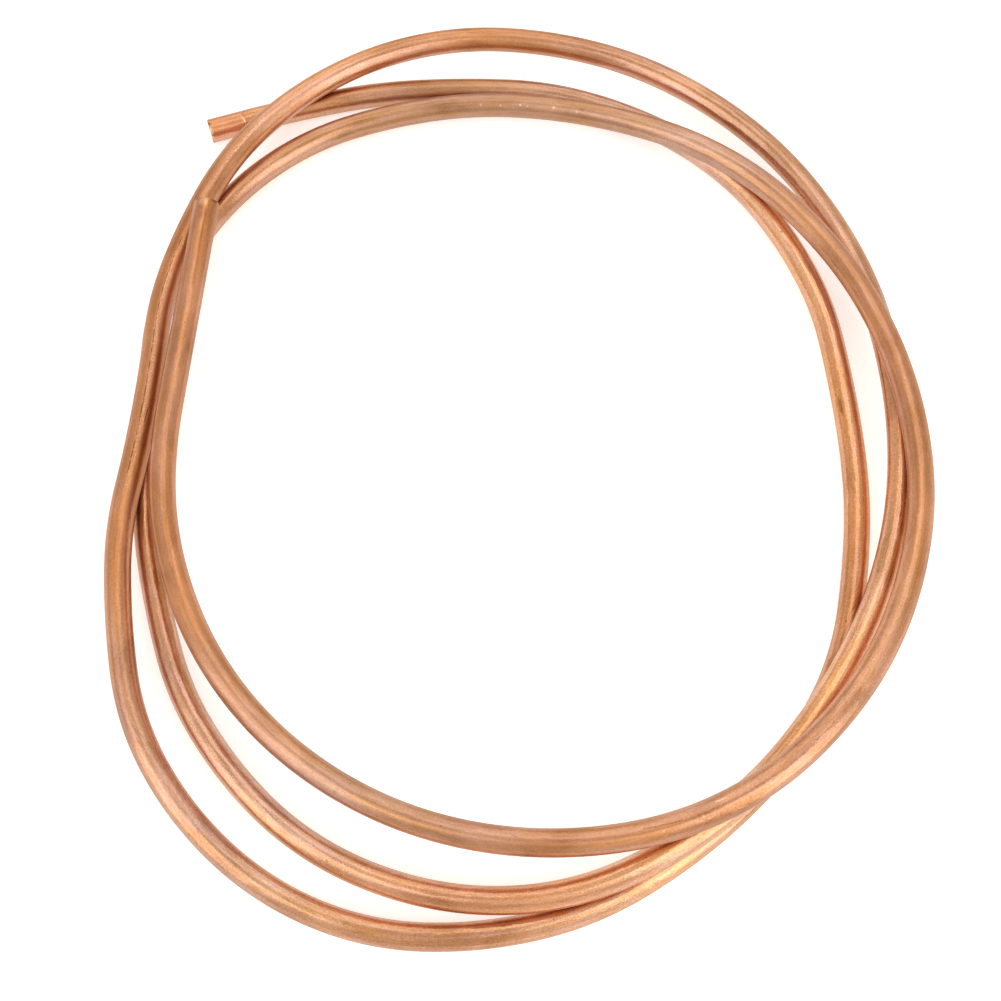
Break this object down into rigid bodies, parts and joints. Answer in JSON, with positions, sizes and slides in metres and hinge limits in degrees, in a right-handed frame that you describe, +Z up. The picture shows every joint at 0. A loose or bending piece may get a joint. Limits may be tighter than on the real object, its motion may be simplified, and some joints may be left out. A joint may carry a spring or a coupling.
{
  "type": "copper tube coil",
  "caption": "Loose flat coil of soft round copper tube, hollow along its whole length, with square-cut ends for fittings; stock for plumbing, gas or cooling lines.",
  "frame": {"origin": "middle of the coil's footprint, on the floor it lies on", "axes": "+Z up from the floor, +Y along the coil's longer way, towards the top of the picture, +X to the picture's right"},
  "size_m": [0.3122, 0.3832, 0.0311],
  "materials": {
    "copper": "satin, lightly tarnished soft copper with drawn streaks along the tube"
  },
  "bodies": {
    "root": {"copper_tube": "copper"}
  },
  "joints": []
}
